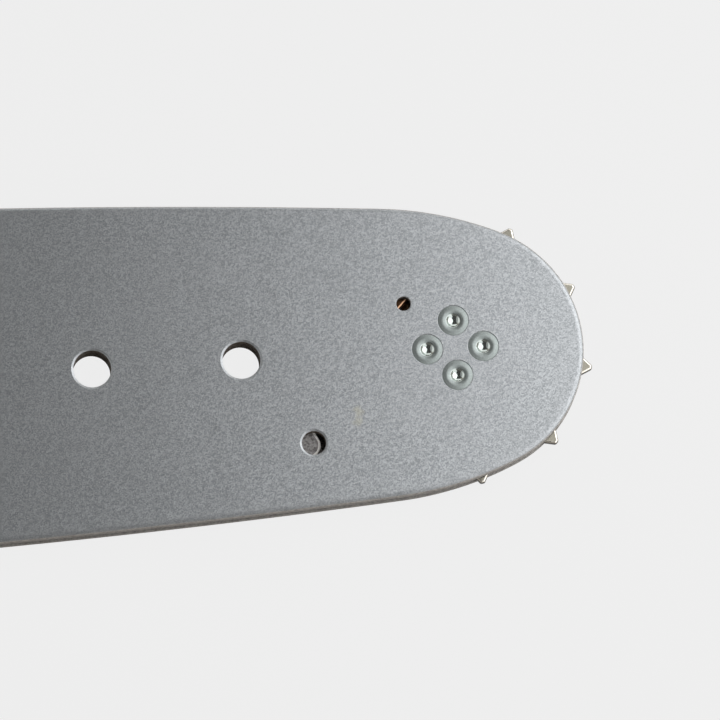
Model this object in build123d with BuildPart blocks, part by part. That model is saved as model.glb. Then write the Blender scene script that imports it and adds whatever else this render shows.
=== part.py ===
"""Laminated chainsaw guide bar with a sprocket nose, in millimetres.

The bar lies flat with its back face on Z = 0. The origin is the middle of the stud slot in the tail,
+X runs along the bar to the nose and +Y is the side of the bar that carries the grease hole on top.
"""
from math import acos, asin, atan2, cos, degrees, hypot, pi, radians, sin
import os

from build123d import *

# Sheets: two side plates with a core between them
plate_thickness = 1.5
core_thickness = 1.5
edge_break = 0.5
hole_edge_break = 0.4
groove_depth = 9.1

# Outline, nose to tail
nose_reach = 312.0
nose_radius = 22.5
nose_half_angle = 65.0
shoulder_radius = 60.0
belly_rise = 8.6
belly_setback = 145.0
tail_corner_radius = 12.0

# Tail: stud slot, chain tensioner holes and oil holes
slot_width = 8.3
slot_length = 60.0
slot_tail_wall = 14.0
slot_nose_wall = 6.0
tensioner_hole_diameter = 6.0
tensioner_hole_setback = 14.0
tensioner_wall = 4.3
core_edge_wall = 2.5
oil_hole_diameter = 3.2
oil_hole_lift = 0.4

# Holes along the bar, measured back from the sprocket axis
pilot_hole_diameter = 6.6
pilot_hole_setback = 37.4
pilot_hole_pitch = 26.0
sight_hole_diameter = 4.0
sight_hole_setback = 25.9
sight_hole_drop = 15.5
small_hole_break = 0.35
countersink_angle = 90.0

# Nose sprocket
tooth_count = 10
tooth_stand_out = 1.7
tooth_width = 2.3
tooth_tip_bevel = 1.6
tooth_tip_flat = 0.7
tooth_tip_round = 0.42
tooth_phase = -10.7
gullet_radius = 3.3
gullet_rim_wall = 3.6
sprocket_play = 0.1
chamber_clearance = 4.1
horn_radius = 2.4

# Needle bearing
race_radius = 9.5
roller_diameter = 2.4
roller_spacing_gap = 0.05
roller_edge_break = 0.15
running_clearance = 0.05
grease_hole_diameter = 2.5
grease_hole_inset = 0.1
grease_hole_angle = 135.0
grease_hole_break = 0.15

# Rivets
rivet_count = 4
rivet_circle_radius = 4.9
rivet_shank_diameter = 3.4
rivet_head_diameter = 5.1
rivet_dish_diameter = 2.8
rivet_dish_depth = 0.7
rivet_fit = 0.02

# Levels through the thickness
core_bottom = plate_thickness
core_top = core_bottom + core_thickness
bar_thickness = core_top + plate_thickness
sprocket_bottom = core_bottom + sprocket_play
sprocket_thickness = core_thickness - 2 * sprocket_play

# Nose and bearing sizes
nose_centre = (nose_reach, 0)
tooth_tip_radius = nose_radius + tooth_stand_out
roller_radius = roller_diameter / 2
roller_circle_radius = race_radius + running_clearance + roller_radius
sprocket_bore_radius = roller_circle_radius + roller_radius + running_clearance
roller_half_step = asin((roller_diameter + roller_spacing_gap) / (2 * roller_circle_radius))
roller_count = int(pi / roller_half_step)

# Gullet between two teeth: a round floor, flanks tangent to it, and bevels that bring the teeth to a point
gullet_x = sprocket_bore_radius + gullet_rim_wall + gullet_radius
gullet_half_angle = pi / tooth_count - asin(tooth_width / 2 / tooth_tip_radius)
gullet_corner = (tooth_tip_radius * cos(gullet_half_angle), tooth_tip_radius * sin(gullet_half_angle))
corner_distance = hypot(gullet_corner[0] - gullet_x, gullet_corner[1])
corner_angle = atan2(gullet_corner[1], gullet_corner[0] - gullet_x)
flank_normal_angle = corner_angle + acos(gullet_radius / corner_distance)
flank_foot = (
    gullet_x + gullet_radius * cos(flank_normal_angle),
    gullet_radius * sin(flank_normal_angle),
)
bevel_foot = (
    gullet_corner[0] - tooth_tip_bevel * sin(flank_normal_angle),
    gullet_corner[1] + tooth_tip_bevel * cos(flank_normal_angle),
)
tip_angle = pi / tooth_count - asin(tooth_tip_flat / 2 / tooth_tip_radius)
tip_corner = (tooth_tip_radius * cos(tip_angle), tooth_tip_radius * sin(tip_angle))
tip_clear = (tip_corner[0] + gullet_radius * cos(tip_angle), tip_corner[1] + gullet_radius * sin(tip_angle))

# Outline points: each arc is tangent to the next
belly_half_width = nose_radius + belly_rise
belly_x = nose_reach - belly_setback
nose_angle = radians(nose_half_angle)
shoulder_offset = shoulder_radius - nose_radius
shoulder_centre = (nose_reach - shoulder_offset * cos(nose_angle), -shoulder_offset * sin(nose_angle))
belly_run = shoulder_centre[0] - belly_x
belly_drop = belly_half_width - shoulder_centre[1]
side_radius = (belly_run**2 + belly_drop**2 - shoulder_radius**2) / (2 * (belly_drop - shoulder_radius))
side_centre = (belly_x, belly_half_width - side_radius)
side_start_angle = degrees(atan2(shoulder_centre[1] - side_centre[1], belly_run))

# Tail places
slot_half_length = slot_length / 2
tail_end_x = -slot_half_length - slot_tail_wall
tail_shoulder_x = slot_half_length + slot_nose_wall
tensioner_hole_radius = tensioner_hole_diameter / 2
tensioner_hole_x = slot_half_length - tensioner_hole_setback
tensioner_hole_y = slot_width / 2 + tensioner_wall + tensioner_hole_radius
tail_shoulder_half_width = tensioner_hole_y + tensioner_hole_radius + core_edge_wall + groove_depth
oil_hole_y = tail_shoulder_half_width - groove_depth + oil_hole_diameter / 2 + oil_hole_lift

# Hole places
pilot_hole_x = nose_reach - pilot_hole_setback
pilot_hole_spots = [(pilot_hole_x, 0), (pilot_hole_x - pilot_hole_pitch, 0)]
tensioner_hole_spots = [(tensioner_hole_x, tensioner_hole_y), (tensioner_hole_x, -tensioner_hole_y)]
oil_hole_spots = [(tail_shoulder_x, oil_hole_y), (tail_shoulder_x, -oil_hole_y)]
sight_hole_spot = (nose_reach - sight_hole_setback, -sight_hole_drop)
grease_hole_radius_out = sprocket_bore_radius - grease_hole_inset
grease_hole_spot = (
    nose_reach + grease_hole_radius_out * cos(radians(grease_hole_angle)),
    grease_hole_radius_out * sin(radians(grease_hole_angle)),
)

os.makedirs("parts", exist_ok=True)


def export(builder, node):
    """Label a finished piece and write it as one STEP file."""
    builder.part.label = node
    export_step(builder.part, f"parts/{node}.step")


def nose_plane(height, turn=0.0):
    """Plane across the sprocket axis at a height, its X axis turned from the bar's by an angle."""
    x_dir = (cos(radians(turn)), sin(radians(turn)), 0)
    return Plane(origin=(nose_reach, 0, height), x_dir=x_dir, z_dir=(0, 0, 1))


# Outline of the side plates: nose arc, shoulder, long side and a tapered tail, mirrored about the centreline
with BuildSketch() as outline:
    with BuildLine():
        CenterArc(nose_centre, nose_radius, 0, nose_half_angle)
        CenterArc(shoulder_centre, shoulder_radius, nose_half_angle, side_start_angle - nose_half_angle)
        front_side = CenterArc(side_centre, side_radius, side_start_angle, 90 - side_start_angle)
        tail_shoulder = (tail_shoulder_x, tail_shoulder_half_width)
        rear_side = TangentArc(front_side @ 1, tail_shoulder, tangent=front_side % 1)
        tail_slope = (rear_side % 1).Y / (rear_side % 1).X
        tail_corner = (tail_end_x, tail_shoulder_half_width + tail_slope * (tail_end_x - tail_shoulder_x))
        Line(tail_shoulder, tail_corner)
        Line(tail_corner, (tail_end_x, 0))
        mirror(about=Plane.XZ)
    make_face()
    fillet(outline.vertices().group_by(Axis.X)[0], radius=tail_corner_radius)

# Openings that run through all three sheets
with BuildSketch() as through_holes:
    SlotOverall(slot_length, slot_width)
    with Locations(*pilot_hole_spots):
        Circle(pilot_hole_diameter / 2)
    with Locations(*tensioner_hole_spots):
        Circle(tensioner_hole_radius)

# Side plate stamping, outer face up; the bar uses it twice, once turned over
with BuildPart() as stamping:
    with BuildSketch():
        add(outline.sketch)
        add(through_holes.sketch, mode=Mode.SUBTRACT)
    extrude(amount=plate_thickness)
    chamfer(stamping.faces().sort_by(Axis.Z)[-1].outer_wire().edges(), length=edge_break)
    hole_rims = stamping.faces().sort_by(Axis.Z)[-1].inner_wires()
    chamfer(hole_rims.edges(), length=hole_edge_break)
    with Locations(Plane.XY.offset(plate_thickness)):
        with Locations(sight_hole_spot):
            CounterSinkHole(
                sight_hole_diameter / 2,
                sight_hole_diameter / 2 + small_hole_break,
                counter_sink_angle=countersink_angle,
            )
        with Locations(*oil_hole_spots):
            CounterSinkHole(
                oil_hole_diameter / 2,
                oil_hole_diameter / 2 + small_hole_break,
                counter_sink_angle=countersink_angle,
            )
        with Locations(grease_hole_spot):
            CounterSinkHole(
                grease_hole_diameter / 2,
                grease_hole_diameter / 2 + grease_hole_break,
                counter_sink_angle=countersink_angle,
            )
        with Locations(nose_centre):
            with PolarLocations(rivet_circle_radius, rivet_count):
                CounterSinkHole(
                    rivet_shank_diameter / 2 + rivet_fit,
                    rivet_head_diameter / 2 + rivet_fit,
                    counter_sink_angle=countersink_angle,
                )

with BuildPart() as side_plate_front:
    with Locations((0, 0, core_top)):
        add(stamping.part)
export(side_plate_front, "side_plate_front")

with BuildPart() as side_plate_back:
    with Locations(Location((0, 0, plate_thickness), (180, 0, 0))):
        add(stamping.part)
export(side_plate_back, "side_plate_back")

# Core plate: set in all round to leave the chain groove, cut back round the sprocket into two rounded horns
with BuildPart() as core_plate:
    with BuildSketch(Plane.XY.offset(core_bottom)) as core_face:
        add(outline.sketch)
        offset(amount=-groove_depth, mode=Mode.REPLACE)
        with Locations(nose_centre):
            Circle(tooth_tip_radius + chamber_clearance, mode=Mode.SUBTRACT)
        fillet(core_face.vertices().group_by(Axis.X)[-1], radius=horn_radius)
        add(through_holes.sketch, mode=Mode.SUBTRACT)
    extrude(amount=core_thickness)
export(core_plate, "core_plate")

# Nose sprocket: a toothed ring whose gullets take the chain's drive tangs
with BuildSketch() as gullet:
    with BuildLine():
        floor_start = degrees(flank_normal_angle)
        CenterArc((gullet_x, 0), gullet_radius, floor_start, 180 - floor_start)
        Polyline(flank_foot, bevel_foot, tip_corner, tip_clear, (tip_clear[0], 0))
        mirror(about=Plane.XZ)
    make_face()

with BuildPart() as nose_sprocket:
    with BuildSketch(nose_plane(sprocket_bottom, tooth_phase)) as sprocket_face:
        Circle(tooth_tip_radius)
        with PolarLocations(0, tooth_count, start_angle=180 / tooth_count):
            add(gullet.sketch, mode=Mode.SUBTRACT)
        fillet(sprocket_face.vertices().group_by(SortBy.DISTANCE)[-1], radius=tooth_tip_round)
        Circle(sprocket_bore_radius, mode=Mode.SUBTRACT)
    extrude(amount=sprocket_thickness)
export(nose_sprocket, "nose_sprocket")

# Bearing race: the disc between the side plates that the rivets clamp
with BuildPart() as bearing_race:
    with BuildSketch(nose_plane(core_bottom)):
        Circle(race_radius)
        with PolarLocations(rivet_circle_radius, rivet_count):
            Circle(rivet_shank_diameter / 2 + rivet_fit, mode=Mode.SUBTRACT)
    extrude(amount=core_thickness)
export(bearing_race, "bearing_race")

# Needle rollers: a full ring of loose rollers between the race and the sprocket
for roller_index in range(roller_count):
    roller_turn = roller_index * 360 / roller_count
    with BuildPart() as needle_roller:
        with BuildSketch(nose_plane(sprocket_bottom, roller_turn)):
            with Locations((roller_circle_radius, 0)):
                Circle(roller_radius)
        extrude(amount=sprocket_thickness)
        chamfer(needle_roller.edges().filter_by(GeomType.CIRCLE), length=roller_edge_break)
    export(needle_roller, f"needle_roller_{roller_index + 1:02d}")

# Rivet: countersunk flush at both ends, each head dished by the setting punch
rivet_head_depth = (rivet_head_diameter - rivet_shank_diameter) / 2
dish_radius = rivet_dish_diameter / 2
with BuildPart() as rivet:
    with BuildSketch(Plane.XZ):
        with BuildLine():
            dish_floor = (0, bar_thickness - rivet_dish_depth)
            dish_rim = (dish_radius, bar_thickness)
            head_rim = (rivet_head_diameter / 2, bar_thickness)
            head_foot = (rivet_shank_diameter / 2, bar_thickness - rivet_head_depth)
            TangentArc(dish_floor, dish_rim, tangent=(1, 0))
            Polyline(dish_rim, head_rim, head_foot, (rivet_shank_diameter / 2, bar_thickness / 2))
            mirror(about=Plane.XZ.offset(-bar_thickness / 2))
            Line(dish_floor, (0, rivet_dish_depth))
        make_face()
    revolve(axis=Axis.Z)

with BuildPart() as nose_rivets:
    with Locations(nose_centre):
        with PolarLocations(rivet_circle_radius, rivet_count):
            add(rivet.part)
export(nose_rivets, "nose_rivets")
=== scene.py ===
"""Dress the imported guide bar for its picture.

The bar is a sandwich: two painted side plates with a core sheet between them, and in the nose a toothed
wheel that turns on needle rollers round a race, held by four flush rivets. Sizes are in millimetres, in the
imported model's frame: +X runs to the nose, +Z is the front face. Meshes are made in metres.
"""

import logging
import math
from collections.abc import Callable, Mapping, Sequence
from dataclasses import dataclass
from enum import Enum, IntEnum
from functools import partial

import bmesh
import bpy
import numpy as np
from mathutils import Matrix, Vector


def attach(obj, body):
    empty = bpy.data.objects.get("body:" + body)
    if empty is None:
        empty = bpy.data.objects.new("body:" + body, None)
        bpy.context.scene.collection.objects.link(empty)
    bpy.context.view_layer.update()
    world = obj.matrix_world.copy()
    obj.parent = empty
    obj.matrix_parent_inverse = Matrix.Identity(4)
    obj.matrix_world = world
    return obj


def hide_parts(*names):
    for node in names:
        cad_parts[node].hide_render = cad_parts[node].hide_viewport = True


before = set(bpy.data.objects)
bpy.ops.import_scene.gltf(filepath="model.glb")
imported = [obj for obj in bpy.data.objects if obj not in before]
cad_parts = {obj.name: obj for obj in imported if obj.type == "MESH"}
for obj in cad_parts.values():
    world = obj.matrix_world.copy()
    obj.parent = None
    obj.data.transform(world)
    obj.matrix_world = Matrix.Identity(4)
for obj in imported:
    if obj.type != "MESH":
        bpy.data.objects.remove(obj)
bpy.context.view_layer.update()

LOG = logging.getLogger("guide_bar")
MM = 0.001
PER_METRE = 1000.0
# Points nearer than this are one: in millimetres on a line, in metres in a ring of copies.
SAME_POINT = 1e-6
# A face whose normal rises at least this far is level, and is shaded flat.
LEVEL_RISE = 0.999
# Longest steps along an arc and round a hole; a small hole has at least so many steps to a radius.
ARC_CHORD = 0.7
HOLE_CHORD = 0.4
HOLE_STEPS = 8
# Mirrors a point in the bar's centreline.
FLIP = np.array((1.0, -1.0))
# Attributes that tell the wheel's finish where its side walls take a painted shade
# and where its rounded edges take a painted highlight.
FLANK_SHADE = "flank"
EDGE_HIGHLIGHT = "rubbed_edge"

Point = tuple[float, float]
Place = tuple[float, float, float]
Profile = list[Point]
Colour = tuple[float, float, float, float]
Feeds = Mapping[str | int, object]
AddNode = Callable[..., bpy.types.Node]


class Side(Enum):
    """The face of the bar that a side plate covers."""

    FRONT = "front"
    BACK = "back"


class Coat(IntEnum):
    """Material number of a sheet's faces."""

    TOP = 0
    UNDER = 1
    HOLE_WALL = 2
    # Rails of the plates, worn pale; on the core, a slope painted near-white as a highlight.
    WORN_EDGE_AND_HIGHLIGHT = 3


def linear(colour: str) -> Colour:
    """Turn an sRGB hex colour into linear light.

    Args:
        colour: six hex digits after a hash sign.

    Returns:
        Red, green, blue and an alpha of one.
    """
    parts = [int(colour[place:place + 2], 16) / 255 for place in (1, 3, 5)]
    light = [part / 12.92 if part <= 0.04045 else ((part + 0.055) / 1.055) ** 2.4 for part in parts]
    return (light[0], light[1], light[2], 1.0)


def feed(node: bpy.types.Node, feeds: Feeds) -> None:
    """Set or link a node's inputs.

    Args:
        node: a node in its tree.
        feeds: by input name or number, a value, an sRGB hex colour, a node (its first output in use) or a
            node with an output's name.
    """
    links = node.id_data.links
    for key, value in feeds.items():
        named = [socket for socket in node.inputs if socket.enabled and socket.name == key]
        target = node.inputs[key] if isinstance(key, int) else named[0]
        if isinstance(value, bpy.types.Node):
            links.new(next(socket for socket in value.outputs if socket.enabled), target)
        elif isinstance(value, tuple) and isinstance(value[0], bpy.types.Node):
            links.new(value[0].outputs[value[1]], target)
        else:
            target.default_value = linear(value) if isinstance(value, str) else value


def add_node(
    tree: bpy.types.NodeTree, kind: str, feeds: Feeds | None = None, **settings: object
) -> bpy.types.Node:
    """Add a node to a tree, set it up and feed its inputs.

    Args:
        tree: the tree that takes the node.
        kind: the node's type.
        feeds: what its inputs take.
        settings: the node's own properties.

    Returns:
        The new node.
    """
    node = tree.nodes.new(kind)
    for name, value in settings.items():
        setattr(node, name, value)
    feed(node, feeds or {})
    return node


@dataclass(frozen=True)
class Layout:
    """Sizes and places that several pieces share."""

    nose_x: float = 312.0
    sheet: float = 1.5
    wheel_play: float = 0.1
    rivet_count: int = 4
    rivet_circle: float = 4.9
    rivet_head_depth: float = 0.85
    sight_spot: Point = (286.1, -15.5)

    @property
    def core_bottom(self) -> float:
        """Height of the core's back face."""
        return self.sheet

    @property
    def core_top(self) -> float:
        """Height of the core's front face."""
        return 2 * self.sheet

    @property
    def top(self) -> float:
        """Height of the bar's front face."""
        return 3 * self.sheet

    @property
    def wheel_bottom(self) -> float:
        """Height of the back face of the wheel and of the rollers."""
        return self.core_bottom + self.wheel_play

    @property
    def wheel_top(self) -> float:
        """Height of the front face of the wheel and of the rollers."""
        return self.core_top - self.wheel_play

    @property
    def nose(self) -> Point:
        """Where the wheel's axis crosses the bar."""
        return (self.nose_x, 0.0)


@dataclass(frozen=True)
class Contour:
    """A line round a sheet or a hole, with the way out of the metal at each point."""

    points: np.ndarray
    outward: np.ndarray

    def inset(self, distance: float) -> np.ndarray:
        """Points moved into the metal by a distance."""
        return self.points - distance * self.outward


def rays(degrees: float | np.ndarray) -> np.ndarray:
    """Unit vectors at angles in degrees, one row for each."""
    angles = np.radians(degrees)
    return np.column_stack((np.cos(angles), np.sin(angles)))


def heading(start: Sequence[float], end: Sequence[float]) -> float:
    """Angle in degrees of the way from one point to another."""
    return math.degrees(math.atan2(end[1] - start[1], end[0] - start[0]))


def arc(
    centre: Point, radius: float, start: float, end: float, chord: float = ARC_CHORD, hollow: bool = False
) -> Contour:
    """Run points along an arc.

    Args:
        centre: middle of the arc.
        radius: its radius.
        start: first angle in degrees.
        end: last angle in degrees.
        chord: longest step from point to point.
        hollow: whether the metal lies outside the arc.

    Returns:
        The points with both ends.
    """
    steps = max(2, math.ceil(abs(math.radians(end - start)) * radius / chord))
    out = rays(np.linspace(start, end, steps + 1))
    return Contour(np.asarray(centre) + radius * out, -out if hollow else out)


def closed(*runs: Contour) -> Contour:
    """Join runs end to end into one closed line without doubled points.

    Args:
        runs: the runs in order.

    Returns:
        The closed line.
    """
    points = np.vstack([run.points for run in runs])
    outward = np.vstack([run.outward for run in runs])
    keep = np.linalg.norm(points - np.roll(points, 1, axis=0), axis=1) > SAME_POINT
    return Contour(points[keep], outward[keep])


def mirrored(*runs: Contour) -> Contour:
    """Close the upper half of a line with its mirror image below the centreline."""
    lower = [Contour(run.points[::-1] * FLIP, run.outward[::-1] * FLIP) for run in reversed(runs)]
    return closed(*runs, *lower)


def hole(centre: Point, radius: float) -> Contour:
    """Round hole as a closed line."""
    return closed(arc(centre, radius, 360, 0, min(HOLE_CHORD, radius / HOLE_STEPS), hollow=True))


def crossing(first: Point, first_radius: float, second: Point, second_radius: float) -> Point:
    """Find the upper point where two circles cross.

    Args:
        first: centre of one circle.
        first_radius: its radius.
        second: centre of the other circle.
        second_radius: its radius.

    Returns:
        The crossing with the larger Y.
    """
    start, span = np.asarray(first), np.asarray(second) - np.asarray(first)
    reach = np.linalg.norm(span)
    along = (first_radius**2 - second_radius**2 + reach**2) / (2 * reach)
    across = math.sqrt(first_radius**2 - along**2)
    ray = span / reach
    turned = np.array((-ray[1], ray[0]))
    spots = (start + along * ray + across * turned, start + along * ray - across * turned)
    best = max(spots, key=lambda spot: spot[1])
    return (float(best[0]), float(best[1]))


def quarter(reach: float, drop: float, steps: int) -> Profile:
    """Quarter ellipse that rounds an edge.

    Args:
        reach: how far it comes in over the face.
        drop: how far it comes down the wall.
        steps: its facets.

    Returns:
        Insets from the wall and depths below the face, from the wall to the face.
    """
    angles = [math.pi / 2 * step / steps for step in range(steps + 1)]
    return [(reach * (1 - math.cos(angle)), drop * (1 - math.sin(angle))) for angle in angles]


def rolled_edge(bottom: float, top: float, reach: float, drop: float, steps: int = 8) -> Profile:
    """Edge profile of a sheet whose upper edge rolls over in a quarter ellipse.

    Args:
        bottom: height of the lower face.
        top: height of the upper face.
        reach: how far the roll comes in over the upper face.
        drop: how far it comes down the wall.
        steps: facets of the quarter ellipse.

    Returns:
        Insets and heights from the lower face to the upper one.
    """
    return [(0.0, bottom), *((inset, top - depth) for inset, depth in quarter(reach, drop, steps))]


def broken_edge(bottom: float, top: float, reach: float, drop: float) -> Profile:
    """Edge profile of a sheet whose upper edge is broken by a shallow slope.

    Args:
        bottom: height of the lower face.
        top: height of the upper face.
        reach: how far the slope comes in over the upper face.
        drop: how far it comes down the wall.

    Returns:
        Insets and heights from the lower face to the upper one.
    """
    return [(0.0, bottom), (0.0, top - drop), (reach, top)]


def in_metres(shape: bmesh.types.BMesh, name: str) -> bpy.types.Mesh:
    """Turn a shape drawn in millimetres into a mesh in metres.

    Args:
        shape: the shape, which is freed.
        name: name of the mesh.

    Returns:
        The mesh.
    """
    bmesh.ops.scale(shape, vec=(MM, MM, MM), verts=shape.verts)
    mesh = bpy.data.meshes.new(name)
    shape.to_mesh(mesh)
    shape.free()
    return mesh


def in_scene(name: str, data: bpy.types.ID) -> bpy.types.Object:
    """Put a mesh, a lamp or a camera into the scene.

    Args:
        name: name of the object.
        data: what it shows.

    Returns:
        The object, at the origin.
    """
    thing = bpy.data.objects.new(name, data)
    bpy.context.scene.collection.objects.link(thing)
    return thing


@dataclass(frozen=True)
class Rim:
    """A closed line and the edge profile that carries it through a sheet.

    The slots are the materials of the strips from the lower face on; the rest have the top face's.
    """

    line: Contour
    profile: Profile
    slots: tuple[Coat, ...] = ()


@dataclass(frozen=True)
class Dimple:
    """A shallow round dent that a welding electrode leaves in a sheet."""

    centre: Point
    radius: float = 3.0
    wall: float = 0.9
    depth: float = 0.014
    rings: int = 6
    corners: int = 40

    def ring(self, step: int) -> tuple[np.ndarray, float]:
        """Points of one ring of the dent, and how deep it lies.

        Args:
            step: 0 at the brim, one more for each ring inwards.

        Returns:
            The ring's points and its depth, which eases in at the brim and out at the floor.
        """
        share = step / (self.rings - 1)
        out = rays(np.linspace(0, 360, self.corners, endpoint=False))
        points = np.asarray(self.centre) + (self.radius - share * self.wall) * out
        return points, self.depth * share**2 * (3 - 2 * share)


@dataclass
class SheetBlank:
    """A flat sheet as a closed mesh: each line is carried through the thickness by its own edge profile."""

    rims: list[Rim]
    dimples: list[Dimple]
    crease: float = 35.0

    def mesh(self, name: str) -> bpy.types.Mesh:
        """Build the sheet.

        Args:
            name: name of the mesh.

        Returns:
            A mesh in metres, with material numbers by Coat.
        """
        shape = bmesh.new()
        lower_edges: list[bmesh.types.BMEdge] = []
        upper_edges: list[bmesh.types.BMEdge] = []
        for rim in self.rims:
            rings = [self._ring(shape, rim.line.inset(inset), height) for inset, height in rim.profile]
            self._strips(shape, rings, rim.slots)
            lower_edges += self._loop(shape, rings[0])
            upper_edges += self._loop(shape, rings[-1])
        top = self.rims[0].profile[-1][1]
        for dimple in self.dimples:
            upper_edges += self._dent(shape, dimple, top)
        for edges, slot in ((upper_edges, Coat.TOP), (lower_edges, Coat.UNDER)):
            filled = bmesh.ops.triangle_fill(shape, use_beauty=True, use_dissolve=False, edges=edges)
            for face in filled["geom"]:
                if isinstance(face, bmesh.types.BMFace):
                    face.material_index = slot
        bmesh.ops.recalc_face_normals(shape, faces=shape.faces)
        for edge in shape.edges:
            edge.smooth = edge.calc_face_angle(0.0) < math.radians(self.crease)
        return in_metres(shape, name)

    def _dent(self, shape: bmesh.types.BMesh, dimple: Dimple, top: float) -> list[bmesh.types.BMEdge]:
        """Add the faces of one dent.

        Args:
            shape: the mesh that takes them.
            dimple: the dent.
            top: height of the face that it is pressed into.

        Returns:
            The edges of its brim.
        """
        levels = [dimple.ring(step) for step in range(dimple.rings)]
        rings = [self._ring(shape, points, top - depth) for points, depth in levels]
        self._strips(shape, rings)
        middle = shape.verts.new((*dimple.centre, top - dimple.depth))
        for here, there in zip(rings[-1], rings[-1][1:] + rings[-1][:1]):
            shape.faces.new((here, there, middle)).smooth = True
        return self._loop(shape, rings[0])

    @staticmethod
    def _ring(shape: bmesh.types.BMesh, points: np.ndarray, height: float) -> list[bmesh.types.BMVert]:
        """Add one ring of points at a height."""
        return [shape.verts.new((x, y, height)) for x, y in points]

    @staticmethod
    def _strips(
        shape: bmesh.types.BMesh, rings: list[list[bmesh.types.BMVert]], slots: tuple[Coat, ...] = ()
    ) -> None:
        """Join neighbouring rings with four-sided faces, smooth unless they lie flat.

        Args:
            shape: the mesh that takes the faces.
            rings: rings with the same number of points.
            slots: material numbers of the strips from the first ring on; the rest have the top face's.
        """
        for number, (lower, upper) in enumerate(zip(rings, rings[1:])):
            for index, corner in enumerate(lower):
                after = (index + 1) % len(lower)
                face = shape.faces.new((corner, lower[after], upper[after], upper[index]))
                face.smooth = corner.co.z != upper[index].co.z
                face.material_index = slots[number] if number < len(slots) else Coat.TOP

    @staticmethod
    def _loop(shape: bmesh.types.BMesh, ring: list[bmesh.types.BMVert]) -> list[bmesh.types.BMEdge]:
        """Edges that run round a ring."""
        return [shape.edges.get((here, there)) for here, there in zip(ring, ring[1:] + ring[:1])]


def revolved(name: str, end: Profile, low: float, top: float, corners: int) -> bpy.types.Mesh:
    """Turn a closed solid with two like ends about the Z axis.

    Args:
        name: name of the mesh.
        end: radius and depth below the end's face, from the axis outwards.
        low: height of the lower face.
        top: height of the upper face.
        corners: facets round the axis.

    Returns:
        A smooth mesh in metres.
    """
    profile = [(radius, top - depth) for radius, depth in end]
    profile += [(radius, low + depth) for radius, depth in reversed(end)]
    shape = bmesh.new()
    out = rays(np.linspace(0, 360, corners, endpoint=False))
    rings = [[shape.verts.new((r * x, r * y, z)) for x, y in out] for r, z in profile[1:-1]]
    first = shape.verts.new((0, 0, profile[0][1]))
    last = shape.verts.new((0, 0, profile[-1][1]))
    for index in range(corners):
        after = (index + 1) % corners
        shape.faces.new((first, rings[0][index], rings[0][after]))
        shape.faces.new((last, rings[-1][after], rings[-1][index]))
        for inner, outer in zip(rings, rings[1:]):
            shape.faces.new((inner[index], outer[index], outer[after], inner[after]))
    for face in shape.faces:
        face.smooth = True
    bmesh.ops.recalc_face_normals(shape, faces=shape.faces)
    return in_metres(shape, name)


@dataclass(frozen=True)
class RingOfCopies:
    """A Geometry Nodes tree that sets copies of a mesh round the nose axis."""

    name: str
    count: int
    radius: float
    start: float
    axis: Point

    def tree(self) -> bpy.types.NodeTree:
        """Build the tree with its named inputs.

        Returns:
            The tree, which ends in plain geometry with its material.
        """
        tree = bpy.data.node_groups.new(self.name, "GeometryNodeTree")
        for name, kind in (
            ("Geometry", "NodeSocketGeometry"),
            ("Count", "NodeSocketInt"),
            ("Radius", "NodeSocketFloat"),
            ("Start Angle", "NodeSocketFloat"),
            ("Axis", "NodeSocketVector"),
            ("Finish", "NodeSocketMaterial"),
        ):
            tree.interface.new_socket(name, in_out="INPUT", socket_type=kind)
        tree.interface.new_socket("Geometry", in_out="OUTPUT", socket_type="NodeSocketGeometry")
        add = partial(add_node, tree)
        entry = add("NodeGroupInput")
        spots = add("GeometryNodeMeshLine", {"Count": (entry, "Count"), "Offset": (0.0, 0.0, 0.0)})
        step = add("ShaderNodeMath", {0: math.tau, 1: (entry, "Count")}, operation="DIVIDE")
        index = add("GeometryNodeInputIndex")
        turned = {0: index, 1: step, 2: (entry, "Start Angle")}
        angle = add("ShaderNodeMath", turned, operation="MULTIPLY_ADD")
        turn = add("ShaderNodeCombineXYZ", {"Z": angle})
        facing = add("FunctionNodeEulerToRotation", {"Euler": turn})
        placed = {"Points": spots, "Instance": (entry, "Geometry"), "Rotation": facing}
        copies = add("GeometryNodeInstanceOnPoints", placed)
        reach = add("ShaderNodeCombineXYZ", {"X": (entry, "Radius")})
        spread = add("GeometryNodeTranslateInstances", {"Instances": copies, "Translation": reach})
        centred = add("GeometryNodeTransform", {"Geometry": spread, "Translation": (entry, "Axis")})
        real = add("GeometryNodeRealizeInstances", {"Geometry": centred})
        merged = add("GeometryNodeMergeByDistance", {"Geometry": real, "Distance": SAME_POINT})
        dressed = add("GeometryNodeSetMaterial", {"Geometry": merged, "Material": (entry, "Finish")})
        add("NodeGroupOutput", {"Geometry": dressed})
        return tree

    def applied(self, mesh: bpy.types.Mesh, finish: bpy.types.Material) -> bpy.types.Mesh:
        """Run the tree on a mesh.

        Args:
            mesh: one copy, made at the origin.
            finish: the material of every copy.

        Returns:
            All copies as one plain mesh.
        """
        tree = self.tree()
        holder = in_scene(self.name, mesh)
        modifier = holder.modifiers.new(self.name, "NODES")
        modifier.node_group = tree
        sizes = {
            "Count": self.count,
            "Radius": self.radius * MM,
            "Start Angle": math.radians(self.start),
            "Axis": [place * MM for place in (*self.axis, 0.0)],
            "Finish": finish,
        }
        for socket in tree.interface.items_tree:
            if socket.name in sizes:
                modifier[socket.identifier] = sizes[socket.name]
        state = bpy.context.evaluated_depsgraph_get()
        result = bpy.data.meshes.new_from_object(holder.evaluated_get(state))
        holder.modifiers.remove(modifier)
        bpy.data.objects.remove(holder)
        shape = bmesh.new()
        shape.from_mesh(result)
        bmesh.ops.recalc_face_normals(shape, faces=shape.faces)
        shape.to_mesh(result)
        shape.free()
        return result


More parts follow.
